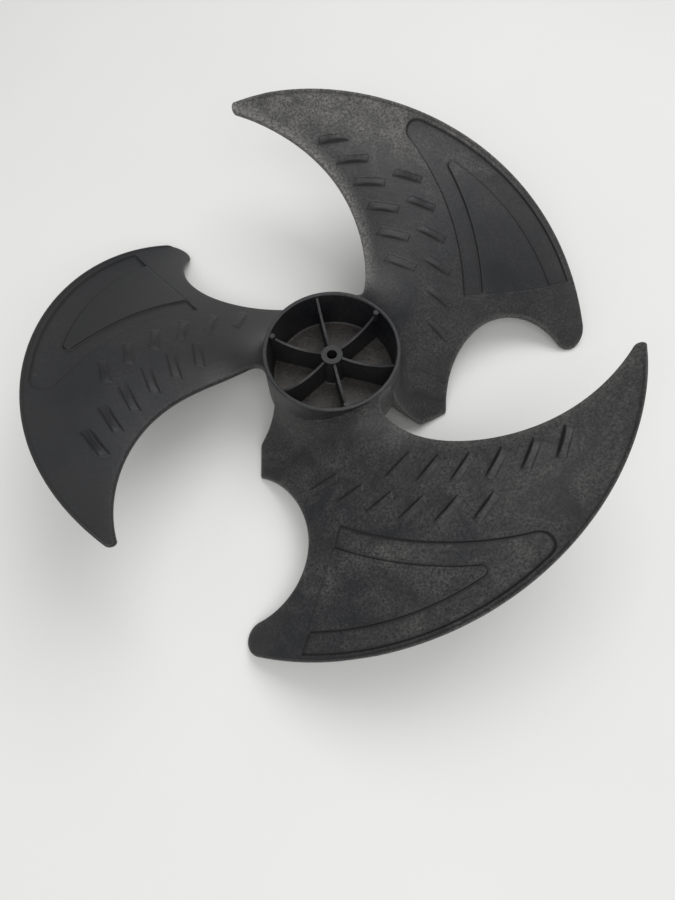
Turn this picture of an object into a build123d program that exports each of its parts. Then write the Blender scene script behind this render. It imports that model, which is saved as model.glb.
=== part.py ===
from build123d import *
from math import atan2, cos, hypot, radians, sin
import os

# Axial fan impeller, one moulding: cup hub with a central boss, six ribs and three lugs, and three
# forward-swept sickle blades. Origin at the centre of the bore on the boss's top face, +Z along the bore
# toward the open side of the cup. It turns counterclockwise seen from +Z.

# ---- hub cup ----
rim_height = 10.0
cup_bottom = -47.5
rim_outer_radius = 65.6
foot_outer_radius = 66.5
rim_inner_radius = 61.6
floor_inner_radius = 60.6
floor_top = -36.0
floor_thickness = 4.0
skirt_inner_radius = 62.5
rim_edge_radius = 1.0
floor_corner_radius = 2.5

# ---- boss and bore ----
boss_top_radius = 10.3
boss_root_radius = 11.3
bore_radius = 5.0
bore_mouth = 0.6

# ---- ribs between boss and cup wall ----
rib_count = 6
rib_first_azimuth = 39.7
rib_thickness = 2.4
rib_wall_top = 8.6
rib_dish_top = -3.0
rib_dish_radius = 40.0
rib_boss_top = -1.2

# ---- lugs inside the rim ----
lug_count = 3
lug_centre_radius = 59.6
lug_radius = 3.0
lug_top = 8.8
lug_depth = 12.0

# ---- blades ----
blade_count = 3
blade_pitch_origin = 40.0

slab_depth = 420.0
grid_rows = 13
grid_columns = 25
grid_inner_radius = 56.0
grid_outer_radius = 296.0
grid_start = -44.0
grid_end = 114.0

# Height of the blade's upper face at five radii, each a curve over the angle v from the pitch origin:
# height = middle + pitch v + camber v2 + sweep v3 + curl v4
section_radius = (62.0, 92.0, 140.0, 205.0, 290.0)
section_middle = (-3.5, -17.5, -16.0, -8.5, 12.0)
section_pitch = (57.5, 48.5, 68.0, 97.5, 123.0)
section_camber = (-39.0, -36.5, -35.0, -38.5, -69.0)
section_sweep = (-51.0, -39.0, -26.0, 2.5, 39.5)
section_curl = (-1.0, -7.5, -17.0, -20.5, -19.5)
root_thickness = 5.6
tip_thickness = 3.8


def across_sections(values, radius):
    total = 0.0
    for i, value in enumerate(values):
        weight = 1.0
        for j, other in enumerate(section_radius):
            if j != i:
                weight *= (radius - other) / (section_radius[i] - other)
        total += value * weight
    return total


def blade_height(x, y):
    radius = hypot(x, y)
    v = atan2(y, x) - radians(blade_pitch_origin)
    laws = (section_middle, section_pitch, section_camber, section_sweep, section_curl)
    return sum(across_sections(law, radius) * v**power for power, law in enumerate(laws))


def blade_thickness(x, y):
    share = (hypot(x, y) - section_radius[0]) / (section_radius[-1] - section_radius[0])
    return root_thickness + (tip_thickness - root_thickness) * share


def top_face(drop):
    return height_face(lambda x, y: blade_height(x, y) - drop)


def height_face(height):
    grid = []
    for i in range(grid_rows):
        radius = grid_inner_radius + (grid_outer_radius - grid_inner_radius) * i / (grid_rows - 1)
        row = []
        for j in range(grid_columns):
            azimuth = radians(grid_start + (grid_end - grid_start) * j / (grid_columns - 1))
            x = radius * cos(azimuth)
            y = radius * sin(azimuth)
            row.append((x, y, height(x, y)))
        grid.append(row)
    return Face.make_surface_from_array_of_points(grid, tol=0.02)


def solid_below(face):
    return extrude(face, amount=slab_depth, dir=(0, 0, -1))


# Plan outline of a blade, seen along the axis, from the hub round the trailing tip to the leading tip.
outer_centre = (15.1, 9.5)
outer_radius = 262.1
leading_centre = (-98.0, 108.5)
leading_radius = 139.5
leading_tip = (-93.5, 248.3)
leading_mid = (41.5, 108.5)
leading_foot = (30.4, 54.0)
trailing_tip_start = (273.3, 54.9)
trailing_tip_mid = (266.8, 40.6)
trailing_tip_end = (246.2, 40.8)
trailing_bow_mid = (190.0, 61.7)
trailing_bow_end = (155.4, 49.5)
trailing_inner_mid = (126.6, 17.1)
trailing_corner = (114.9, -27.9)
root_corner = (86.3, -42.2)
root_foot = (56.0, -34.4)
root_bite = 2.0
root_start_azimuth = -36.0
root_end_azimuth = 86.0
leading_tip_radius = 4.2
notch_radius = 14.0
trailing_corner_radius = 3.0
root_corner_radius = 4.0

# ---- recessed panel ring and its island on the upper face of each blade ----
panel_margin = 5.0
panel_inner_centre = (-108.6, 87.9)
panel_inner_radius = 249.6
panel_ring_width = 21.6
panel_end_inner = (139.7, 75.2)
panel_end_outer = (254.4, 93.4)
panel_depth = 1.6
island_depth = 0.5
panel_tip_radius = 12.0
island_tip_radius = 4.0

# ---- gills: two rows of slanted pockets along each blade ----
gill_count = 6
gill_skew_lead = 3.3
gill_skew_trail = 1.4
gill_inner_depth = 2.6
gill_outer_depth = 0.7
gill_corner_radius = 1.2
# centre of the row's arc, arc radius, first and last angle on it, length, width, first and last slant
front_row = ((-125.0, 80.6), 200.6, 44.4, 5.8, 32.6, 7.8, 6.2, -20.6)
rear_row = ((-99.8, 88.2), 212.4, 26.9, -12.8, 29.3, 7.5, -13.0, -41.6)

tall = 130.0



def polar(radius, azimuth):
    return (radius * cos(radians(azimuth)), radius * sin(radians(azimuth)))


def nearest_vertex(shape, point):
    return shape.vertices().sort_by_distance(point)[0]


with BuildSketch() as wall_remainder:
    Circle(rim_outer_radius + 0.4)
    wedge = [polar(200, a) for a in (root_start_azimuth, 25, root_end_azimuth)]
    Polygon((0, 0), *wedge, align=None, mode=Mode.SUBTRACT)

with BuildSketch() as blade_outline:
    with BuildLine():
        ThreePointArc(leading_foot, leading_mid, leading_tip)
        RadiusArc(leading_tip, trailing_tip_start, outer_radius)
        ThreePointArc(trailing_tip_start, trailing_tip_mid, trailing_tip_end)
        ThreePointArc(trailing_tip_end, trailing_bow_mid, trailing_bow_end)
        ThreePointArc(trailing_bow_end, trailing_inner_mid, trailing_corner)
        Line(trailing_corner, root_corner)
        Line(root_corner, root_foot)
        Line(root_foot, (0, 0))
        Line((0, 0), leading_foot)
    make_face()
    Circle(rim_outer_radius)
    fillet(nearest_vertex(blade_outline, polar(rim_outer_radius, 61)), notch_radius)
    fillet(nearest_vertex(blade_outline, leading_tip), leading_tip_radius)
    fillet(nearest_vertex(blade_outline, trailing_corner), trailing_corner_radius)
    fillet(nearest_vertex(blade_outline, root_corner), root_corner_radius)
    Circle(rim_outer_radius - root_bite, mode=Mode.SUBTRACT)
    add(wall_remainder.sketch, mode=Mode.SUBTRACT)

# Panel: everything on the blade between the two margins, ended by a straight line near the trailing edge.
def panel_outline(inset, tip_radius):
    with BuildSketch() as outline:
        with Locations(outer_centre):
            Circle(outer_radius - panel_margin - inset)
        with Locations(panel_inner_centre):
            Circle(panel_inner_radius + inset, mode=Mode.SUBTRACT)
        with BuildLine():
            Polyline(
                panel_end_inner,
                (panel_end_inner[0] - 30, panel_end_inner[1] - 4.8),
                (60, 300),
                (400, 300),
                (400, panel_end_outer[1] + 23),
                panel_end_outer,
                close=True,
            )
        make_face(mode=Mode.INTERSECT)
        tip = outline.vertices().sort_by(Axis.Y)[-1]
        fillet(tip, tip_radius)
    return outline.sketch


panel = panel_outline(0, panel_tip_radius)
island = panel_outline(panel_ring_width, island_tip_radius)
panel_ring = panel - island


def gill_outline(inner_middle, slant, length, width):
    along = (cos(radians(slant)), sin(radians(slant)))
    across = (-along[1], along[0])

    def place(forward, outward):
        x = inner_middle[0] - along[0] * forward + across[0] * outward
        y = inner_middle[1] - along[1] * forward + across[1] * outward
        return (x, y)

    return (
        place(length / 2, 0),
        place(-length / 2, 0),
        place(-length / 2 - gill_skew_trail, width),
        place(length / 2 - gill_skew_lead, width),
    )


# ---- one blade, built on the azimuth of the first ----
top_body = solid_below(top_face(0))
under_body = solid_below(height_face(lambda x, y: blade_height(x, y) - blade_thickness(x, y)))

with BuildPart() as blade:
    with BuildSketch(Plane.XY.offset(-tall)):
        add(blade_outline.sketch)
    extrude(amount=2 * tall)
    add(top_body, mode=Mode.INTERSECT)
    add(under_body, mode=Mode.SUBTRACT)


def sunk_cutter(outline, depth):
    with BuildPart() as cutter:
        with BuildSketch(Plane.XY.offset(-tall)):
            add(outline)
        extrude(amount=2 * tall)
        add(solid_below(top_face(depth)), mode=Mode.SUBTRACT)
    return cutter.part


def gill_cutter(outline):
    lead, trail, trail_out, lead_out = outline
    middle_out = ((lead_out[0] + trail_out[0]) / 2, (lead_out[1] + trail_out[1]) / 2)
    floor_lead = Vector(*lead, blade_height(*lead) - gill_inner_depth)
    floor_trail = Vector(*trail, blade_height(*trail) - gill_inner_depth)
    floor_out = Vector(*middle_out, blade_height(*middle_out) - gill_outer_depth)
    along = floor_trail - floor_lead
    normal = along.cross(floor_out - floor_lead)
    if normal.Z < 0:
        normal = normal * -1
    with BuildPart() as cutter:
        with BuildSketch(Plane.XY.offset(-tall)):
            Polygon(*outline, align=None)
        extrude(amount=2 * tall)
        fillet(cutter.edges().filter_by(Axis.Z), gill_corner_radius)
        split(bisect_by=Plane(origin=floor_lead, x_dir=along, z_dir=normal), keep=Keep.TOP)
    return cutter.part


gill_cutters = []
for centre, radius, first, last, length, width, first_slant, last_slant in (front_row, rear_row):
    for i in range(gill_count):
        share = i / (gill_count - 1)
        angle = first + (last - first) * share
        slant = first_slant + (last_slant - first_slant) * share
        reach = polar(radius, angle)
        middle = (centre[0] + reach[0], centre[1] + reach[1])
        gill_cutters.append(gill_cutter(gill_outline(middle, slant, length, width)))

with BuildPart() as finished_blade:
    add(blade.part)
    add(sunk_cutter(panel_ring, panel_depth), mode=Mode.SUBTRACT)
    add(sunk_cutter(island, island_depth), mode=Mode.SUBTRACT)
    add(gill_cutters, mode=Mode.SUBTRACT)

# ---- hub ----
with BuildPart() as hub:
    with BuildSketch(Plane.XZ) as hub_section:
        with BuildLine():
            Polyline(
                (bore_radius, cup_bottom),
                (boss_root_radius, cup_bottom),
                (boss_root_radius, floor_top - floor_thickness),
                (skirt_inner_radius, floor_top - floor_thickness),
                (skirt_inner_radius, cup_bottom),
                (foot_outer_radius, cup_bottom),
                (rim_outer_radius, rim_height),
                (rim_inner_radius, rim_height),
                (floor_inner_radius, floor_top),
                (boss_root_radius, floor_top),
                (boss_top_radius, 0),
                (bore_radius, 0),
                close=True,
            )
        make_face()
        fillet(nearest_vertex(hub_section, (floor_inner_radius, floor_top)), floor_corner_radius)
        fillet(nearest_vertex(hub_section, (boss_root_radius, floor_top)), floor_corner_radius)
        fillet(nearest_vertex(hub_section, (rim_outer_radius, rim_height)), rim_edge_radius)
        fillet(nearest_vertex(hub_section, (rim_inner_radius, rim_height)), rim_edge_radius)
        chamfer(nearest_vertex(hub_section, (bore_radius, cup_bottom)), bore_mouth)
    revolve(axis=Axis.Z)

rib_start = bore_radius + 2.5
rib_end = rim_inner_radius + 1.5
with BuildPart() as rib:
    with BuildSketch(Plane.XZ):
        with BuildLine():
            Spline((rib_start, rib_boss_top), (rib_dish_radius, rib_dish_top), (rib_end, rib_wall_top))
            Polyline(
                (rib_end, rib_wall_top),
                (rib_end, floor_top - 1),
                (rib_start, floor_top - 1),
                (rib_start, rib_boss_top),
            )
        make_face()
    extrude(amount=rib_thickness / 2, both=True)

with BuildPart() as lug:
    with BuildSketch(Plane.XY.offset(lug_top)):
        with Locations((lug_centre_radius, 0)):
            Circle(lug_radius)
    extrude(amount=-lug_depth)
    fillet(lug.faces().sort_by(Axis.Z)[-1].edges(), 0.6)

# ---- the whole moulding ----
with BuildPart() as impeller:
    add(hub.part)
    with PolarLocations(0, rib_count, start_angle=rib_first_azimuth):
        add(rib.part)
    with PolarLocations(0, lug_count, start_angle=rib_first_azimuth):
        add(lug.part)
    with PolarLocations(0, blade_count):
        add(finished_blade.part)

impeller.part.label = "impeller"
os.makedirs("parts", exist_ok=True)
export_step(impeller.part, "parts/impeller.step")
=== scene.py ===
import bpy
import numpy as np
from collections import namedtuple
from math import atan2, cos, hypot, pi, radians, sin, sqrt
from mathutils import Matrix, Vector
from mathutils.geometry import delaunay_2d_cdt


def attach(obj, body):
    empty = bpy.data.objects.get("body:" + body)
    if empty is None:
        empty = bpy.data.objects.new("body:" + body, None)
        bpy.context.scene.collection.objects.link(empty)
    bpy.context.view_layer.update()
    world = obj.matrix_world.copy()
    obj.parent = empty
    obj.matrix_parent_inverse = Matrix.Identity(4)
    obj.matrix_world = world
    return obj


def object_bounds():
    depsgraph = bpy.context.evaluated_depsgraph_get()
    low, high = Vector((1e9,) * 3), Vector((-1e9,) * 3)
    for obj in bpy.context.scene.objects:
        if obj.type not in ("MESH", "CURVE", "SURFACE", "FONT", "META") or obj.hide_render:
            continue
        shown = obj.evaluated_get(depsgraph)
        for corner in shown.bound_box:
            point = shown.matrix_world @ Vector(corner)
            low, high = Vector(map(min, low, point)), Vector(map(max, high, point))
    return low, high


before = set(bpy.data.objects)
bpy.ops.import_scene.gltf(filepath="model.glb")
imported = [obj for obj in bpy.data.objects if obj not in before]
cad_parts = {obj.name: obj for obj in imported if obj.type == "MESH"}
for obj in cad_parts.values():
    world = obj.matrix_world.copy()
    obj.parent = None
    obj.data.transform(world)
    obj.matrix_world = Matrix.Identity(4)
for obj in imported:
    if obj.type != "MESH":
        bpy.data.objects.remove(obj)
cad_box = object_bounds()

MM = 0.001

# place in metres, turn in degrees, lens in millimetres
CAMERA_PLACE = (0.0, -0.35194, 0.58507)
CAMERA_TURN = (23.2472, 1.9065, -4.0486)
CAMERA_LENS = 28.288
CAMERA_SENSOR = 36.0
CAMERA_NEAREST = 0.01


def link(obj):
    bpy.context.scene.collection.objects.link(obj)
    return obj


# ---- camera: a little to the viewer's side of the impeller, looking down at about 67 degrees ----
camera_data = bpy.data.cameras.new("camera")
camera_data.lens = CAMERA_LENS
camera_data.sensor_width = CAMERA_SENSOR
camera_data.clip_start = CAMERA_NEAREST
camera = link(bpy.data.objects.new("camera", camera_data))
camera.location = CAMERA_PLACE
camera.rotation_euler = [radians(a) for a in CAMERA_TURN]
bpy.context.scene.camera = camera

# ---- the blade's laws and outline, in millimetres and degrees, as the CAD has them ----
RIM_HEIGHT = 10.0
RIM_OUTER = 65.6
# The upper face's height is a polynomial of the azimuth beyond PITCH_ORIGIN. SECTION_LAWS has a row
# for each power and in it a value for each radius.
SECTION_RADIUS = (62.0, 92.0, 140.0, 205.0, 290.0)
SECTION_LAWS = (
    (-3.5, -17.5, -16.0, -8.5, 12.0),
    (57.5, 48.5, 68.0, 97.5, 123.0),
    (-39.0, -36.5, -35.0, -38.5, -69.0),
    (-51.0, -39.0, -26.0, 2.5, 39.5),
    (-1.0, -7.5, -17.0, -20.5, -19.5),
)
PITCH_ORIGIN = radians(40.0)
ROOT_THICKNESS = 5.6
TIP_THICKNESS = 3.8

OUTER_CENTRE = (15.1, 9.5)
OUTER_RADIUS = 262.1
LEADING_TIP = (-93.5, 248.3)
LEADING_MID = (41.5, 108.5)
LEADING_FOOT = (30.4, 54.0)
TRAILING_TIP_START = (273.3, 54.9)
TRAILING_TIP_MID = (266.8, 40.6)
TRAILING_TIP_END = (246.2, 40.8)
TRAILING_BOW_MID = (190.0, 61.7)
TRAILING_BOW_END = (155.4, 49.5)
TRAILING_INNER_MID = (126.6, 17.1)
TRAILING_CORNER = (114.9, -27.9)
ROOT_CORNER = (86.3, -42.2)
ROOT_FOOT = (56.0, -34.4)
NOTCH_RADIUS = 14.0
LEADING_TIP_RADIUS = 4.2
TRAILING_CORNER_RADIUS = 3.0
ROOT_CORNER_RADIUS = 4.0
ROOT_INSIDE = 63.2
ROOT_END_AZIMUTH = 84.0
BLADE_ANGLE = 120.0

PANEL_MARGIN = 5.0
PANEL_INNER_CENTRE = (-108.6, 87.9)
PANEL_INNER_RADIUS = 249.6
PANEL_RING_WIDTH = 21.6
PANEL_END = ((139.7, 75.2), (254.4, 93.4))
PANEL_TIP_RADIUS = 12.0
ISLAND_TIP_RADIUS = 4.0

# ---- what the skin adds over the CAD blade, in millimetres ----
# A pair whose name ends in FADE says where something starts and over what run it becomes full.
SKIN_RAISE = 0.45
SKIN_OUTSET = 0.45
SKIN_BELOW = 0.25
WALL_TOLERANCE = 0.3
EDGE_ROUND = 1.5
EDGE_ROUND_FADE = (-1.0, 1.5)

RING_DEPTH = 1.45
RING_STEP = 1.6

END_LINE_DEPTH = 0.35
END_LINE_WIDTH = 0.8
END_LINE_START = 12
END_LINE_FINISH = 100
END_LINE_FADE = 4

LIP_WIDTH = 2.6
LIP_HEIGHT = 1.2
LIP_INNER_SLOPE = 0.9
LIP_OUTER_FADE = (-1.0, 0.6)
LIP_EDGE_FADE = (-0.2, 0.6)
LIP_RUN_FADE = (-82.0, 30.0)

# The flare is a quarter of an ellipse, cut just short of its upright end.
FLARE_WIDTH = 19.0
FLARE_SHARE = 0.62
FLARE_LEAST = 4.0
FLARE_CUT = 0.998
WALL_BAND = 1.0
BELOW_RIM = 1.2
ROOT_SWELL = 3.0
ROOT_SWELL_REACH = 34.0

GILL_COUNT = 6
GILL_SKEW_LEAD = 3.3
GILL_SKEW_TRAIL = 1.4
GILL_FACE_SLOPE = 1.28
GILL_EDGE_SLOPE = 1.6
GILL_PLATE = 0.85
GILL_ARCH = 0.75
GILL_CREST_SHARE = 0.9
GILL_OUTER_MARGIN = 0.5
GILL_FALL_LIMIT = 1.2
# centre of the row's arc, arc radius, first and last angle, length, width, first and last slant,
# first and last height
GILL_ROWS = (
    ((-125.0, 80.6), 200.6, 44.4, 5.8, 32.6, 7.8, 6.2, -20.6, 3.9, 1.7),
    ((-99.8, 88.2), 212.4, 26.9, -12.8, 29.3, 7.5, -13.0, -41.6, 3.1, 1.8),
)

# ---- the marks for painted shade, painted sheen and highlights, dust and wear, in millimetres ----
# how dark the painted shade is along the panel's step, the lip and the end line
PANEL_PAINTED_SHADE = 0.95
LIP_PAINTED_SHADE = 0.55
END_LINE_PAINTED_SHADE = 0.6
# the painted shade at the panel's step: where on the step it is darkest, and its width on the ring's
# side and the other
PAINTED_SHADE_FOOT_SHARE = 0.7
PAINTED_SHADE_WIDTHS = (1.7, 1.1)
LIP_PAINTED_SHADE_GAP = 0.4
LIP_PAINTED_SHADE_WIDTH = 0.8
# a gill's face: middle and width of its painted shade, and where it ends, as a share of half the length
GILL_SHADE_AT = 1.0
GILL_SHADE_LEAST = 0.7
GILL_SHADE_MORE = 1.2
GILL_SHADE_END = 1.04
GILL_SHADE_FADE = 0.14
# width of the painted shade along a gill's outer edge
GILL_EDGE_SHADE_WIDTH = 0.9
EDGE_WEAR_WIDTH = 2.2
LEAD_WEAR_AND_HIGHLIGHT_WIDTH = 8.0
LEAD_WEAR_AND_HIGHLIGHT_FADE = (75, 40)
TIP_FADE = (195, 60)
TIP_FADE_Y = (140, 90)
OUTER_FADE = (190, 60)
RING_MARK_FADE = 3.0
PANEL_MARK_FADE = 4.0

# ---- spacing of the skin's mesh points, in millimetres ----
CURVE_STEP = 0.8
FILLET_STEP = 0.6
OUTLINE_STEP = 1.5
SHORTEST_RUN = 1e-4
PROBE = 0.3
EDGE_ROWS = (0.15, 0.45, 0.9, 1.5, 2.2, 3.0, 4.2)
PANEL_ROWS = (-0.7, 0.0, 0.4, 0.8, 1.2, 1.6, 2.2, 3.0)
ISLAND_ROWS = (0.7, 0.0, -0.4, -0.8, -1.2, -1.6, -2.2, -3.0)
EDGE_ROWS_MARGIN = 0.1
PANEL_ROWS_MARGIN = 3.0
ROW_SLACK = 0.12
ROW_SLACK_SHARE = 0.06
GILL_GRID_STEP = (0.8, 0.6)
GILL_GRID_ALONG = (2.4, 1.6)
GILL_GRID_ACROSS = (0.6, 0.9)
FIELD_PITCH = 2.4
FIELD_ROW_SHARE = 0.866
# least gap of a point to those before it: edge rows, panel and island rows, gill grids, open field
EDGE_GAP = 0.10
PANEL_GAP = 0.25
GILL_GAP = 0.45
FIELD_GAP = 1.3
POINT_CELL = 1.5
OUTLINE_MARGIN = 0.08
MERGE_DISTANCE = 1e-5
KEEP_INSIDE = 1  # the triangulation's output type that drops what lies outside the outline


def blade_height(x, y):
    radius = np.hypot(x, y)
    v = np.arctan2(y, x) - PITCH_ORIGIN
    total = np.zeros_like(radius)
    for power, law in enumerate(SECTION_LAWS):
        value = np.zeros_like(radius)
        for i, at in enumerate(SECTION_RADIUS):
            weight = np.ones_like(radius)
            for j, other in enumerate(SECTION_RADIUS):
                if j != i:
                    weight = weight * (radius - other) / (at - other)
            value = value + law[i] * weight
        total = total + value * v**power
    return total


def blade_thickness(x, y):
    share = (np.hypot(x, y) - SECTION_RADIUS[0]) / (SECTION_RADIUS[-1] - SECTION_RADIUS[0])
    return ROOT_THICKNESS + (TIP_THICKNESS - ROOT_THICKNESS) * share


# ---- plan curves as dense rows of points ----
def circle_through(a, b, c):
    ax, ay = a
    bx, by = b
    cx, cy = c
    d = 2 * (ax * (by - cy) + bx * (cy - ay) + cx * (ay - by))
    square_a, square_b, square_c = ax**2 + ay**2, bx**2 + by**2, cx**2 + cy**2
    ux = (square_a * (by - cy) + square_b * (cy - ay) + square_c * (ay - by)) / d
    uy = (square_a * (cx - bx) + square_b * (ax - cx) + square_c * (bx - ax)) / d
    return (ux, uy), hypot(ax - ux, ay - uy)


def arc_points(centre, radius, start, end, step=CURVE_STEP):
    count = max(2, int(abs(end - start) * radius / step))
    angles = np.linspace(start, end, count + 1)
    return np.stack([centre[0] + radius * np.cos(angles), centre[1] + radius * np.sin(angles)], 1)


def three_point_arc(a, b, c):
    centre, radius = circle_through(a, b, c)
    start, middle, end = (atan2(p[1] - centre[1], p[0] - centre[0]) for p in (a, b, c))
    turn_to_middle = (middle - start) % (2 * pi)
    turn_to_end = (end - start) % (2 * pi)
    if turn_to_middle > turn_to_end:
        turn_to_end -= 2 * pi
    return arc_points(centre, radius, start, start + turn_to_end)


def line_points(a, b):
    count = max(1, int(hypot(b[0] - a[0], b[1] - a[1]) / CURVE_STEP))
    share = np.linspace(0, 1, count + 1)[:, None]
    return np.array(a) * (1 - share) + np.array(b) * share


def normals_of(path):
    run = np.gradient(path, axis=0)
    run /= np.linalg.norm(run, axis=1)[:, None]
    return np.stack([-run[:, 1], run[:, 0]], 1)


def filleted(before, after, radius):
    # Joins two rows of points with an arc of the given radius that touches both.
    run_in = before[-1] - before[-2]
    run_out = after[1] - after[0]
    side = 1.0 if run_in[0] * run_out[1] - run_in[1] * run_out[0] > 0 else -1.0
    first = before + normals_of(before) * radius * side
    second = after + normals_of(after) * radius * side
    gaps = np.linalg.norm(first[:, None, :] - second[None, :, :], axis=2)
    i, j = np.unravel_index(np.argmin(gaps), gaps.shape)
    centre = (first[i] + second[j]) / 2
    start = atan2(before[i][1] - centre[1], before[i][0] - centre[0])
    end = atan2(after[j][1] - centre[1], after[j][0] - centre[0])
    turn = (end - start) % (2 * pi)
    if side < 0:
        turn -= 2 * pi
    corner = arc_points(centre, radius, start, start + turn, FILLET_STEP)
    return np.concatenate([before[:i], corner, after[j + 1:]])


def circle_circle(c0, r0, c1, r1, pick):
    # Of the two crossings, the one where pick is largest.
    d = hypot(c1[0] - c0[0], c1[1] - c0[1])
    a = (r0**2 - r1**2 + d**2) / (2 * d)
    h = sqrt(r0**2 - a**2)
    ux, uy = (c1[0] - c0[0]) / d, (c1[1] - c0[1]) / d
    spots = [(c0[0] + a * ux - s * h * uy, c0[1] + a * uy + s * h * ux) for s in (1, -1)]
    return max(spots, key=pick)


def line_circle(p, q, centre, radius, pick):
    # Of the two crossings of the line through p and q, the one where pick is largest.
    dx, dy = q[0] - p[0], q[1] - p[1]
    fx, fy = p[0] - centre[0], p[1] - centre[1]
    a, b, c = dx * dx + dy * dy, 2 * (fx * dx + fy * dy), fx * fx + fy * fy - radius**2
    root = sqrt(b * b - 4 * a * c)
    spots = [(p[0] + t * dx, p[1] + t * dy) for t in ((-b + root) / (2 * a), (-b - root) / (2 * a))]
    return max(spots, key=pick)


def angle_at(centre, spot):
    return atan2(spot[1] - centre[1], spot[0] - centre[0])


def even_steps(loop):
    closed = np.concatenate([loop, loop[:1]])
    runs = np.linalg.norm(np.diff(closed, axis=0), axis=1)
    keep = np.concatenate([[True], runs[1:] > SHORTEST_RUN])
    loop = loop[keep]
    closed = np.concatenate([loop, loop[:1]])
    along = np.concatenate([[0], np.cumsum(np.linalg.norm(np.diff(closed, axis=0), axis=1))])
    count = int(along[-1] / OUTLINE_STEP)
    at = np.linspace(0, along[-1], count, endpoint=False)
    return np.stack([np.interp(at, along, closed[:, k]) for k in (0, 1)], 1)


def blade_loop():
    crossing = three_point_arc(LEADING_FOOT, LEADING_MID, LEADING_TIP)
    crossing = crossing[np.hypot(crossing[:, 0], crossing[:, 1]) > RIM_OUTER]
    foot = atan2(crossing[0][1], crossing[0][0])
    wall = arc_points((0, 0), RIM_OUTER, radians(ROOT_END_AZIMUTH), foot)
    path = filleted(wall, crossing, NOTCH_RADIUS)
    start = angle_at(OUTER_CENTRE, LEADING_TIP)
    end = angle_at(OUTER_CENTRE, TRAILING_TIP_START)
    path = filleted(path, arc_points(OUTER_CENTRE, OUTER_RADIUS, start, end), LEADING_TIP_RADIUS)
    path = np.concatenate([
        path,
        three_point_arc(TRAILING_TIP_START, TRAILING_TIP_MID, TRAILING_TIP_END)[1:],
        three_point_arc(TRAILING_TIP_END, TRAILING_BOW_MID, TRAILING_BOW_END)[1:],
        three_point_arc(TRAILING_BOW_END, TRAILING_INNER_MID, TRAILING_CORNER)[1:],
    ])
    path = filleted(path, line_points(TRAILING_CORNER, ROOT_CORNER), TRAILING_CORNER_RADIUS)
    path = filleted(path, line_points(ROOT_CORNER, ROOT_FOOT), ROOT_CORNER_RADIUS)
    root_start = angle_at((0, 0), ROOT_FOOT)
    inside = arc_points((0, 0), ROOT_INSIDE, root_start, radians(ROOT_END_AZIMUTH))
    return np.concatenate([path[:-1], inside])


def panel_loop(inset, tip_radius):
    outer = OUTER_RADIUS - PANEL_MARGIN - inset
    inner = PANEL_INNER_RADIUS + inset
    tip = circle_circle(OUTER_CENTRE, outer, PANEL_INNER_CENTRE, inner, lambda p: p[1])
    low = line_circle(*PANEL_END, PANEL_INNER_CENTRE, inner, lambda p: p[0])
    high = line_circle(*PANEL_END, OUTER_CENTRE, outer, lambda p: p[0])
    start, end = (angle_at(PANEL_INNER_CENTRE, spot) for spot in (low, tip))
    inner_side = arc_points(PANEL_INNER_CENTRE, inner, start, end)
    start, end = (angle_at(OUTER_CENTRE, spot) for spot in (tip, high))
    outer_side = arc_points(OUTER_CENTRE, outer, start, end)
    path = filleted(inner_side, outer_side, tip_radius)
    return np.concatenate([path, line_points(high, low)[1:-1]])


def signed_distance(points, loop):
    # Positive inside the loop.
    ends = np.roll(loop, -1, axis=0)
    best = np.full(len(points), 1e9)
    inside = np.zeros(len(points), bool)
    for a, b in zip(loop, ends):
        run = b - a
        rel = points - a
        share = np.clip((rel @ run) / (run @ run + 1e-12), 0, 1)
        gap = rel - share[:, None] * run
        best = np.minimum(best, (gap * gap).sum(1))
        if a[1] != b[1]:
            crosses = (a[1] > points[:, 1]) != (b[1] > points[:, 1])
            at = a[0] + (points[:, 1] - a[1]) * (b[0] - a[0]) / (b[1] - a[1])
            inside ^= crosses & (points[:, 0] < at)
    return np.where(inside, 1.0, -1.0) * np.sqrt(best)


def inward_normals(loop):
    normal = normals_of(np.concatenate([loop[-1:], loop, loop[:1]]))[1:-1]
    sign = 1.0 if signed_distance(loop[:1] + normal[:1] * PROBE, loop)[0] > 0 else -1.0
    return normal * sign


def beside_line(points, p, q):
    # Distances across and along the line from p to q.
    run = np.array(q) - np.array(p)
    run = run / np.hypot(*run)
    rel = points - np.array(p)
    return rel @ np.array((-run[1], run[0])), rel @ run


def bell(value, width):
    return np.exp(-((value / width) ** 2))


def ease(t):
    t = np.clip(t, 0, 1)
    return t * t * (3 - 2 * t)


def fade(value, start, run):
    return ease((value - start) / run)


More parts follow.
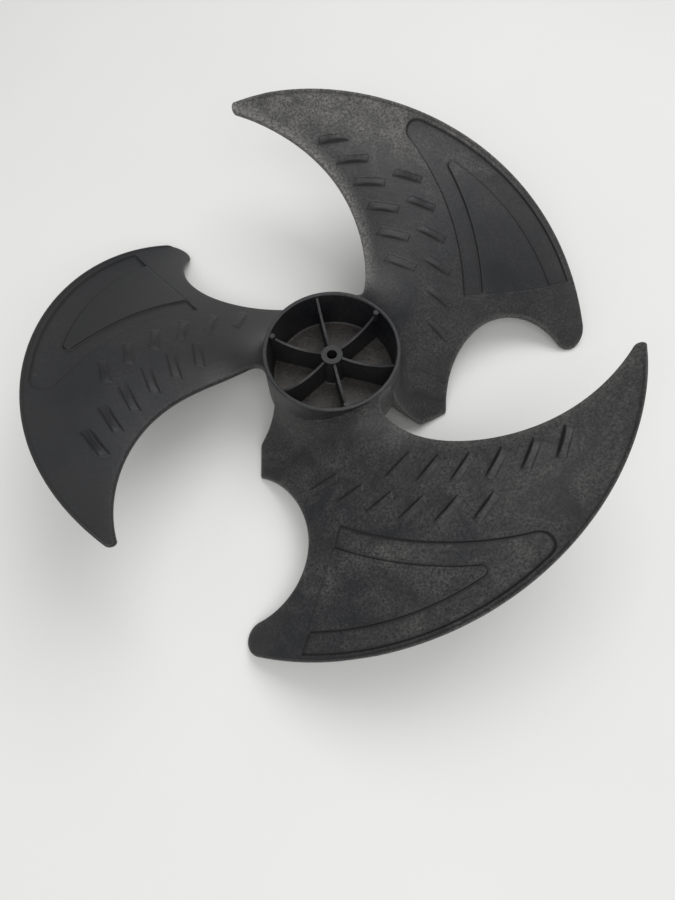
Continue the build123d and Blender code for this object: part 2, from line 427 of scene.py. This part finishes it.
class Gill:
    def __init__(self, row, index):
        centre, radius, first, last, self.length, self.width, slant0, slant1, high0, high1 = row
        share = index / (GILL_COUNT - 1)
        angle = radians(first + (last - first) * share)
        slant = radians(slant0 + (slant1 - slant0) * share)
        self.height = high0 + (high1 - high0) * share
        self.middle = np.array([centre[0] + radius * cos(angle), centre[1] + radius * sin(angle)])
        self.along = np.array([-cos(slant), -sin(slant)])
        self.across = np.array([-sin(slant), cos(slant)])

    def own_axes(self, points):
        rel = points - self.middle
        return rel @ self.along, rel @ self.across

    def rise(self, points):
        # A hood: steep face on the hub side, arched crest, and a roof that falls to a thin edge.
        t, w = self.own_axes(points)
        half = self.length / 2
        lean = np.clip(w / self.width, 0, 1)
        ahead = half - GILL_SKEW_LEAD * lean - t
        behind = t + half + GILL_SKEW_TRAIL * lean
        end_gap = np.minimum(ahead, behind)
        span = np.clip(end_gap / half, 0, 1)
        crest = self.height * (1 - (1 - span) ** 2) ** GILL_ARCH
        crest_at = self.height / GILL_FACE_SLOPE * GILL_CREST_SHARE
        face = w * GILL_FACE_SLOPE
        fall = np.clip((self.width - w) / (self.width - crest_at), 0, GILL_FALL_LIMIT)
        roof = GILL_PLATE + np.maximum(crest - GILL_PLATE, 0) * fall
        ends = np.maximum(end_gap, 0) * GILL_EDGE_SLOPE
        outer_edge = (self.width + GILL_OUTER_MARGIN - w) * GILL_EDGE_SLOPE
        return np.maximum(np.minimum(np.minimum(face, roof), np.minimum(ends, outer_edge)), 0)

    def shade(self, points):
        # Painted shade at the foot of the steep face, fading over it, and the same along the outer
        # edge.
        t, w = self.own_axes(points)
        from_middle = np.abs(t) / (self.length / 2)
        width = GILL_SHADE_LEAST + GILL_SHADE_MORE * np.clip(1 - from_middle * from_middle, 0, 1)
        ends = ease((GILL_SHADE_END - from_middle) / GILL_SHADE_FADE)
        inner = bell(w - GILL_SHADE_AT, width)
        outer = bell(w - self.width - GILL_OUTER_MARGIN, GILL_EDGE_SHADE_WIDTH)
        return inner * ends, outer * ends

    def grid(self):
        step_along, step_across = GILL_GRID_STEP
        before, after = GILL_GRID_ALONG
        inside, outside = GILL_GRID_ACROSS
        spots = []
        for t in np.arange(-self.length / 2 - before, self.length / 2 + after, step_along):
            for w in np.arange(-inside, self.width + outside, step_across):
                spots.append(self.middle + self.along * t + self.across * w)
        return np.array(spots)


# ---- the skin's mesh in plan ----
class SpacedPoints:
    # A list of points that takes a new one only if it keeps its distance from all the others.
    def __init__(self, points):
        self.points = []
        self.cells = {}
        for p in points:
            self.add(p)

    def cell(self, p):
        return int(p[0] // POINT_CELL), int(p[1] // POINT_CELL)

    def add(self, p):
        self.points.append(tuple(p))
        self.cells.setdefault(self.cell(p), []).append(p)

    def crowded(self, p, gap):
        i, j = self.cell(p)
        for di in (-1, 0, 1):
            for dj in (-1, 0, 1):
                for q in self.cells.get((i + di, j + dj), ()):
                    if (p[0] - q[0]) ** 2 + (p[1] - q[1]) ** 2 < gap * gap:
                        return True
        return False

    def add_spaced(self, points, gap):
        for p in points:
            if not self.crowded(p, gap):
                self.add(p)


def rows_beside(loop, offsets, margin, outline):
    # Rows of points at even offsets from a closed loop, kept where they do not cross.
    inward = inward_normals(loop)
    kept = []
    for offset in offsets:
        spots = loop + inward * offset
        own = signed_distance(spots, loop)
        good = np.abs(own - offset) < ROW_SLACK + ROW_SLACK_SHARE * abs(offset)
        good &= signed_distance(spots, outline) > margin
        kept.append(spots[good])
    return np.concatenate(kept)


def field_points(low, high):
    # An even triangular grid between two corners.
    rows = []
    for j, y in enumerate(np.arange(low[1], high[1], FIELD_PITCH * FIELD_ROW_SHARE)):
        xs = np.arange(low[0] + (FIELD_PITCH / 2 if j % 2 else 0), high[0], FIELD_PITCH)
        rows.append(np.stack([xs, np.full_like(xs, y)], 1))
    return np.concatenate(rows)


def skin_outline():
    # The blade's outline, moved outwards except where it lies inside the hub wall.
    exact = even_steps(blade_loop())
    at_wall = np.hypot(exact[:, 0], exact[:, 1]) < RIM_OUTER - WALL_TOLERANCE
    outset = np.where(at_wall, 0.0, SKIN_OUTSET)
    return exact - inward_normals(exact) * outset[:, None]


def facing_up(plan, triangle):
    (ax, ay), (bx, by), (cx, cy) = (plan[i] for i in triangle)
    doubled_area = (bx - ax) * (cy - ay) - (by - ay) * (cx - ax)
    return tuple(triangle) if doubled_area > 0 else tuple(triangle)[::-1]


def triangulated(outline, panel, island, gills):
    groups = (
        (rows_beside(outline, EDGE_ROWS, EDGE_ROWS_MARGIN, outline), EDGE_GAP),
        (rows_beside(panel, PANEL_ROWS, PANEL_ROWS_MARGIN, outline), PANEL_GAP),
        (rows_beside(island, ISLAND_ROWS, PANEL_ROWS_MARGIN, outline), PANEL_GAP),
        (np.concatenate([gill.grid() for gill in gills]), GILL_GAP),
        (field_points(outline.min(0), outline.max(0)), FIELD_GAP),
    )
    chosen = SpacedPoints(outline)
    for spots, gap in groups:
        chosen.add_spaced(spots[signed_distance(spots, outline) > OUTLINE_MARGIN], gap)
    spots = [Vector(p) for p in chosen.points]
    rim = [list(range(len(outline)))]
    vertices, _, triangles, *_ = delaunay_2d_cdt(spots, [], rim, KEEP_INSIDE, MERGE_DISTANCE)
    plan = np.array([(v.x, v.y) for v in vertices])
    return plan, [facing_up(plan, triangle) for triangle in triangles]


def closed_faces(triangles, count):
    # Adds the underside, whose points follow the upper ones in the same order, and the side walls.
    open_sides = {}
    for a, b, c in triangles:
        for u, v in ((a, b), (b, c), (c, a)):
            if (v, u) in open_sides:
                del open_sides[(v, u)]
            else:
                open_sides[(u, v)] = True
    walls = [(v, u, u + count, v + count) for u, v in open_sides]
    below = [(c + count, b + count, a + count) for a, b, c in triangles]
    return triangles + below + walls


class BladeSkin:
    # A closed shell round one blade, with marks from 0 to 1 that say where the colour changes: dust,
    # wear and flow lines, and painted shade, sheen and highlights.
    def __init__(self):
        outline = skin_outline()
        panel = even_steps(panel_loop(0, PANEL_TIP_RADIUS))
        island = even_steps(panel_loop(PANEL_RING_WIDTH, ISLAND_TIP_RADIUS))
        self.gills = [Gill(row, i) for row in GILL_ROWS for i in range(GILL_COUNT)]
        self.plan, triangles = triangulated(outline, panel, island, self.gills)
        self.faces = closed_faces(triangles, len(self.plan))
        self.x, self.y = self.plan[:, 0], self.plan[:, 1]
        self.radius = np.hypot(self.x, self.y)
        self.base = blade_height(self.x, self.y)
        self.outline_gap = np.maximum(signed_distance(self.plan, outline), 0)
        self.in_panel = signed_distance(self.plan, panel)
        self.in_ring = np.minimum(self.in_panel, -signed_distance(self.plan, island))
        from_outer_centre = np.hypot(self.x - OUTER_CENTRE[0], self.y - OUTER_CENTRE[1])
        self.outer_gap = OUTER_RADIUS + SKIN_OUTSET - from_outer_centre
        self.lip_run = fade(self.x, *LIP_RUN_FADE)
        self.end_line = self.end_line_share()
        self.drop = self.edge_drop()

    def end_line_share(self):
        across, along = beside_line(self.plan, *PANEL_END)
        line = bell(across, END_LINE_WIDTH) * ease((along - END_LINE_START) / END_LINE_FADE)
        return line * ease((END_LINE_FINISH - along) / END_LINE_FADE)

    def edge_drop(self):
        # How far the rounded edge lies below the flat surface; nothing inside the hub wall.
        rounding = np.clip(EDGE_ROUND - self.outline_gap, 0, EDGE_ROUND)
        depth = EDGE_ROUND - np.sqrt(EDGE_ROUND**2 - rounding**2)
        return depth * fade(self.radius - RIM_OUTER, *EDGE_ROUND_FADE)

    def lip(self):
        inner = ease((LIP_WIDTH - self.outer_gap) / LIP_INNER_SLOPE)
        outer = fade(self.outer_gap, *LIP_OUTER_FADE)
        return inner * outer * self.lip_run * fade(self.outline_gap, *LIP_EDGE_FADE)

    def flare(self):
        wall_x, wall_y = self.x * RIM_OUTER / self.radius, self.y * RIM_OUTER / self.radius
        climb = FLARE_SHARE * np.maximum(FLARE_LEAST, RIM_HEIGHT - blade_height(wall_x, wall_y))
        nearness = np.clip((RIM_OUTER + FLARE_WIDTH - self.radius) / FLARE_WIDTH, 0, 1)
        return climb * (1 - np.sqrt(1 - FLARE_CUT * nearness**2))

    def top(self):
        top = self.base + SKIN_RAISE - (RING_DEPTH + SKIN_RAISE) * ease(self.in_ring / RING_STEP)
        for gill in self.gills:
            top = top + gill.rise(self.plan)
        top = top + LIP_HEIGHT * self.lip() - self.drop - END_LINE_DEPTH * self.end_line
        top = top + self.flare()
        below_rim = np.minimum(top, RIM_HEIGHT - BELOW_RIM)
        return np.where(self.radius < RIM_OUTER + WALL_BAND, below_rim, top)

    def under(self):
        swell = ROOT_SWELL * np.clip(1 - (self.radius - RIM_OUTER) / ROOT_SWELL_REACH, 0, 1) ** 2
        return self.base - blade_thickness(self.x, self.y) - SKIN_BELOW - swell + self.drop

    def vertices(self):
        surfaces = [np.stack([self.x, self.y, height], 1) for height in (self.top(), self.under())]
        return np.concatenate(surfaces) * MM

    def painted_shades(self):
        # Painted shade along the panel's step, the lip and the end line, and on the gills.
        foot = self.in_ring - RING_STEP * PAINTED_SHADE_FOOT_SHARE
        groove = PANEL_PAINTED_SHADE * bell(foot, np.where(foot > 0, *PAINTED_SHADE_WIDTHS))
        lip_shade = bell(self.outer_gap - LIP_WIDTH - LIP_PAINTED_SHADE_GAP, LIP_PAINTED_SHADE_WIDTH)
        groove = np.maximum(groove, LIP_PAINTED_SHADE * self.lip_run * lip_shade)
        groove = np.maximum(groove, END_LINE_PAINTED_SHADE * self.end_line)
        gill_line = np.zeros_like(groove)
        for gill in self.gills:
            inner, outer = gill.shade(self.plan)
            groove = np.maximum(groove, inner)
            gill_line = np.maximum(gill_line, outer)
        return groove, gill_line

    def marks(self):
        centre, lead_radius = circle_through(LEADING_FOOT, LEADING_MID, LEADING_TIP)
        from_lead = np.hypot(self.x - centre[0], self.y - centre[1]) - lead_radius
        lead = bell(np.maximum(from_lead, 0), LEAD_WEAR_AND_HIGHLIGHT_WIDTH) * fade(self.radius, *LEAD_WEAR_AND_HIGHLIGHT_FADE)
        groove, gill_line = self.painted_shades()
        return {
            "edge": bell(self.outline_gap, EDGE_WEAR_WIDTH),
            "lead": lead,
            "tip": fade(self.radius, *TIP_FADE) * fade(self.y, *TIP_FADE_Y),
            "outer": fade(self.radius, *OUTER_FADE),
            "groove": groove,
            "gill_line": gill_line,
            "ring": ease(self.in_ring / RING_MARK_FADE),
            "panel": ease(self.in_panel / PANEL_MARK_FADE),
        }


# ---- how each blade's surface looks: shares that scale the marks, which paint each blade's sheen, highlights and shade along with its dust and wear ----
Surface = namedtuple(
    "Surface", "dust outer_loss lead_wear tip_dust rub groove panel_loss whorl gill_line"
)
# The blades differ in these shares because they paint on each blade the sheen, highlights and shade
# that the light gives it.
SURFACE_STATE = (
    Surface(0.58, 0.10, 0.90, 2.30, 0.35, 0.95, 0.60, 0.25, 0.15),
    Surface(0.20, 0.95, 0.08, 0.00, 0.12, 0.60, 0.45, 0.40, 0.55),
    Surface(0.86, 0.45, 0.20, 0.45, 0.20, 1.00, -0.45, 1.00, 0.90),
)
UNDERSIDE_SHARE = {"dust": 0.6, "wear": 1.0, "groove": 0.0, "ring": 0.0}


def surface_values(marks, state):
    # The outer and panel shares say how much of the dust and painted sheen those zones lack; below 0
    # they add some, as painted sheen. The tip share adds dust and a painted highlight at the tip.
    dust = state.dust * (1 - state.outer_loss * marks["outer"]) + state.tip_dust * marks["tip"]
    return {
        "dust": dust * (1 - state.panel_loss * marks["panel"]),
        "wear": state.rub * marks["edge"] + state.lead_wear * marks["lead"],
        "groove": np.maximum(state.groove * marks["groove"], state.gill_line * marks["gill_line"]),
        "ring": state.whorl * marks["ring"],
    }


def add_skins(material):
    blade_skin = BladeSkin()
    solid, marks = blade_skin.vertices(), blade_skin.marks()
    low, high = cad_box
    for index, state in enumerate(SURFACE_STATE):
        turn = radians(BLADE_ANGLE * index)
        spots = solid.copy()
        spots[:, 0] = solid[:, 0] * cos(turn) - solid[:, 1] * sin(turn)
        spots[:, 1] = solid[:, 0] * sin(turn) + solid[:, 1] * cos(turn)
        spots = np.clip(spots, np.array(low), np.array(high))
        mesh = bpy.data.meshes.new(f"blade_skin_{index + 1}")
        mesh.from_pydata(spots.tolist(), [], blade_skin.faces)
        mesh.shade_smooth()
        for name, values in surface_values(marks, state).items():
            both = np.concatenate([values, values * UNDERSIDE_SHARE[name]])
            mark = mesh.attributes.new(name, "FLOAT", "POINT")
            mark.data.foreach_set("value", both.astype(np.float32))
        skin = link(bpy.data.objects.new(f"blade_skin_{index + 1}", mesh))
        skin.data.materials.append(material)
        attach(skin, "root")


# ---- materials ----
# noises: scale, detail, roughness, distortion
FINE_GRAIN = (1500.0, 3.0, 0.7, 0.0)
COARSE_GRAIN = (430.0, 4.0, 0.78, 0.0)
CLOUDS = (16.0, 6.0, 0.68, 1.4)
FLOW_LINES = (55.0, 3.0, 0.55, 7.0)
ZONES = (8.0, 3.0, 0.5, 0.4)
TABLE_CLOUDS = (2.0, 3.0, 0.5, 0.0)

# spans: from low, from high, to low, to high
PATCH_SPAN = (0.38, 0.70, 0.16, 1.0)
COARSE_SPECKLE_SPAN = (0.38, 0.72, 0.0, 1.0)
FINE_SPECKLE_SPAN = (0.30, 0.72, 0.35, 1.5)
SPECKLE_SPAN = (0.0, 1.15, 0.0, 1.0)
HUB_DUST_SPAN = (0.3, 0.7, 0.3, 0.5)
WHORL_SPAN = (0.44, 0.62, 0.0, 0.35)
WORN_AND_HIGHLIGHT_SPAN = (0.36, 0.64, 0.1, 0.9)
CUP_FLOOR_SPAN = (-0.0359, -0.0352, 1.0, 0.0)
CUP_DIRT_SPAN = (0.35, 0.65, 0.1, 0.7)
ROUGHNESS_SPAN = (0.0, 0.7, 0.42, 0.60)

COOL_BLACK = (0.0060, 0.0068, 0.0098, 1.0)
PLAIN_BLACK = (0.0100, 0.0104, 0.0118, 1.0)
DUST_AND_SHEEN_COLOUR = (0.1500, 0.1440, 0.1340, 1.0)
WHORL_COLOUR = (0.045, 0.044, 0.043, 1.0)
WORN_AND_HIGHLIGHT_COLOUR = (0.210, 0.205, 0.195, 1.0)
PAINTED_SHADE_COLOUR = (0.0035, 0.0035, 0.0040, 1.0)
CUP_DIRT_COLOUR = (0.100, 0.090, 0.080, 1.0)
TONE_STOPS = ((0.38, COOL_BLACK), (0.56, PLAIN_BLACK))
TABLE_STOPS = ((0.3, (0.76, 0.76, 0.745, 1.0)), (0.7, (0.79, 0.79, 0.775, 1.0)))
TABLE_ROUGHNESS = 0.7
PLASTIC_IOR = 1.42

# bumps: strength, distance in metres
FINE_BUMP = (0.30, 0.0003)
COARSE_BUMP = (0.50, 0.0006)


class Nodes:
    # The colour sockets of a Mix node, which shares their names with its other kinds of socket.
    MIX_FIRST, MIX_SECOND, MIX_RESULT = 6, 7, 2

    def __init__(self, name):
        self.material = bpy.data.materials.new(name)
        self.material.use_nodes = True
        self.tree = self.material.node_tree
        self.shader = self.tree.nodes["Principled BSDF"]
        self.place = self.tree.nodes.new("ShaderNodeTexCoord").outputs["Object"]

    def join(self, source, target):
        self.tree.links.new(source, target)

    def noise(self, scale, detail, rough, distortion):
        node = self.tree.nodes.new("ShaderNodeTexNoise")
        node.inputs["Scale"].default_value = scale
        node.inputs["Detail"].default_value = detail
        node.inputs["Roughness"].default_value = rough
        node.inputs["Distortion"].default_value = distortion
        self.join(self.place, node.inputs["Vector"])
        return node.outputs["Fac"]

    def ramp(self, source, stops):
        node = self.tree.nodes.new("ShaderNodeValToRGB")
        ramp = node.color_ramp
        while len(ramp.elements) < len(stops):
            ramp.elements.new(0.5)
        for element, (at, colour) in zip(ramp.elements, stops):
            element.position = at
            element.color = colour
        self.join(source, node.inputs["Fac"])
        return node.outputs["Color"]

    def span(self, source, low, high, to_low, to_high):
        node = self.tree.nodes.new("ShaderNodeMapRange")
        node.inputs["From Min"].default_value = low
        node.inputs["From Max"].default_value = high
        node.inputs["To Min"].default_value = to_low
        node.inputs["To Max"].default_value = to_high
        self.join(source, node.inputs["Value"])
        return node.outputs["Result"]

    def mix(self, factor, first, second):
        node = self.tree.nodes.new("ShaderNodeMix")
        node.data_type = "RGBA"
        self.join(factor, node.inputs["Factor"])
        self.join(first, node.inputs[self.MIX_FIRST])
        node.inputs[self.MIX_SECOND].default_value = second
        return node.outputs[self.MIX_RESULT]

    def multiply(self, first, second):
        node = self.tree.nodes.new("ShaderNodeMath")
        node.operation = "MULTIPLY"
        self.join(first, node.inputs[0])
        self.join(second, node.inputs[1])
        return node.outputs["Value"]

    def axis(self, name):
        node = self.tree.nodes.new("ShaderNodeSeparateXYZ")
        self.join(self.place, node.inputs["Vector"])
        return node.outputs[name]

    def attribute(self, name):
        node = self.tree.nodes.new("ShaderNodeAttribute")
        node.attribute_name = name
        return node.outputs["Fac"]

    def bump(self, height, strength, distance, after=None):
        node = self.tree.nodes.new("ShaderNodeBump")
        node.inputs["Strength"].default_value = strength
        node.inputs["Distance"].default_value = distance
        self.join(height, node.inputs["Height"])
        if after is not None:
            self.join(after, node.inputs["Normal"])
        return node.outputs["Normal"]


def moulded_black(name, is_hub=False):
    # The blades' version reads the skins' attributes. The hub's has dirt on the cup's floor.
    n = Nodes(name)
    fine = n.noise(*FINE_GRAIN)
    coarse = n.noise(*COARSE_GRAIN)
    zone = n.noise(*ZONES)
    tone = n.ramp(zone, TONE_STOPS)
    patch = n.span(n.noise(*CLOUDS), *PATCH_SPAN)
    grains = n.multiply(n.span(coarse, *COARSE_SPECKLE_SPAN), n.span(fine, *FINE_SPECKLE_SPAN))
    bloom_and_sheen = n.multiply(n.span(grains, *SPECKLE_SPAN), patch)
    if is_hub:
        bloom_and_sheen = n.multiply(bloom_and_sheen, n.span(zone, *HUB_DUST_SPAN))
        skin = n.mix(bloom_and_sheen, tone, DUST_AND_SHEEN_COLOUR)
        cup_floor = n.span(n.axis("Z"), *CUP_FLOOR_SPAN)
        skin = n.mix(n.multiply(cup_floor, n.span(coarse, *CUP_DIRT_SPAN)), skin, CUP_DIRT_COLOUR)
    else:
        whorl = n.multiply(n.attribute("ring"), n.span(n.noise(*FLOW_LINES), *WHORL_SPAN))
        tone = n.mix(whorl, tone, WHORL_COLOUR)
        # Dust speckles, scaled per blade so that they also paint sheen: lighter or darker zones for how
        # the light falls.
        bloom_and_sheen = n.multiply(bloom_and_sheen, n.attribute("dust"))
        skin = n.mix(bloom_and_sheen, tone, DUST_AND_SHEEN_COLOUR)
        # Rubbed edges, and along the leading edge wear with a painted highlight, strongest on the first
        # blade.
        worn_and_highlit = n.multiply(n.attribute("wear"), n.span(coarse, *WORN_AND_HIGHLIGHT_SPAN))
        skin = n.mix(worn_and_highlit, skin, WORN_AND_HIGHLIGHT_COLOUR)
        # Painted shade: near black along the panel's step, the lip and the end line, and on the gills'
        # steep faces and outer edges.
        skin = n.mix(n.attribute("groove"), skin, PAINTED_SHADE_COLOUR)
    n.join(skin, n.shader.inputs["Base Color"])
    n.join(n.span(bloom_and_sheen, *ROUGHNESS_SPAN), n.shader.inputs["Roughness"])
    grain = n.bump(fine, *FINE_BUMP)
    n.join(n.bump(coarse, *COARSE_BUMP, grain), n.shader.inputs["Normal"])
    n.shader.inputs["IOR"].default_value = PLASTIC_IOR
    return n.material


def table_top():
    n = Nodes("table_top")
    n.join(n.ramp(n.noise(*TABLE_CLOUDS), TABLE_STOPS), n.shader.inputs["Base Color"])
    n.shader.inputs["Roughness"].default_value = TABLE_ROUGHNESS
    return n.material


blade_black = moulded_black("blade_black")
hub_black = moulded_black("hub_black", is_hub=True)
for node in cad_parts.values():
    node.data.materials.clear()
    node.data.materials.append(hub_black)

add_skins(blade_black)

# ---- floor under the lowest corners, in metres ----
FLOOR_REACH = 12.0
floor_level = cad_box[0][2]
corner_signs = ((-1, -1), (1, -1), (1, 1), (-1, 1))
floor_corners = [(FLOOR_REACH * x, FLOOR_REACH * y, 0) for x, y in corner_signs]
floor_mesh = bpy.data.meshes.new("floor")
floor_mesh.from_pydata(floor_corners, [], [(0, 1, 2, 3)])
floor = link(bpy.data.objects.new("floor", floor_mesh))
floor.location = (0, 0, floor_level)
floor.data.materials.append(table_top())

# ---- light: name, place and size in metres, power in watts ----
AREA_LIGHTS = (
    ("key", (0.50, 0.72, 1.70), (1.5, 1.2), 17),
    ("front", (-0.10, -1.20, 1.60), (1.8, 1.0), 15),
)
SKY_COLOUR = (0.90, 0.90, 0.90, 1)
SKY_STRENGTH = 0.54


def area(name, place, size, power):
    # A rectangular light that faces the impeller.
    data = bpy.data.lights.new(name, "AREA")
    data.shape = "RECTANGLE"
    data.size, data.size_y = size
    data.energy = power
    lamp = link(bpy.data.objects.new(name, data))
    lamp.location = place
    lamp.rotation_euler = (-Vector(place)).to_track_quat("-Z", "Y").to_euler()


for light in AREA_LIGHTS:
    area(*light)

world = bpy.data.worlds.new("world")
bpy.context.scene.world = world
world.use_nodes = True
sky = world.node_tree.nodes["Background"]
sky.inputs["Color"].default_value = SKY_COLOUR
sky.inputs["Strength"].default_value = SKY_STRENGTH
bpy.context.scene.view_settings.view_transform = "Standard"
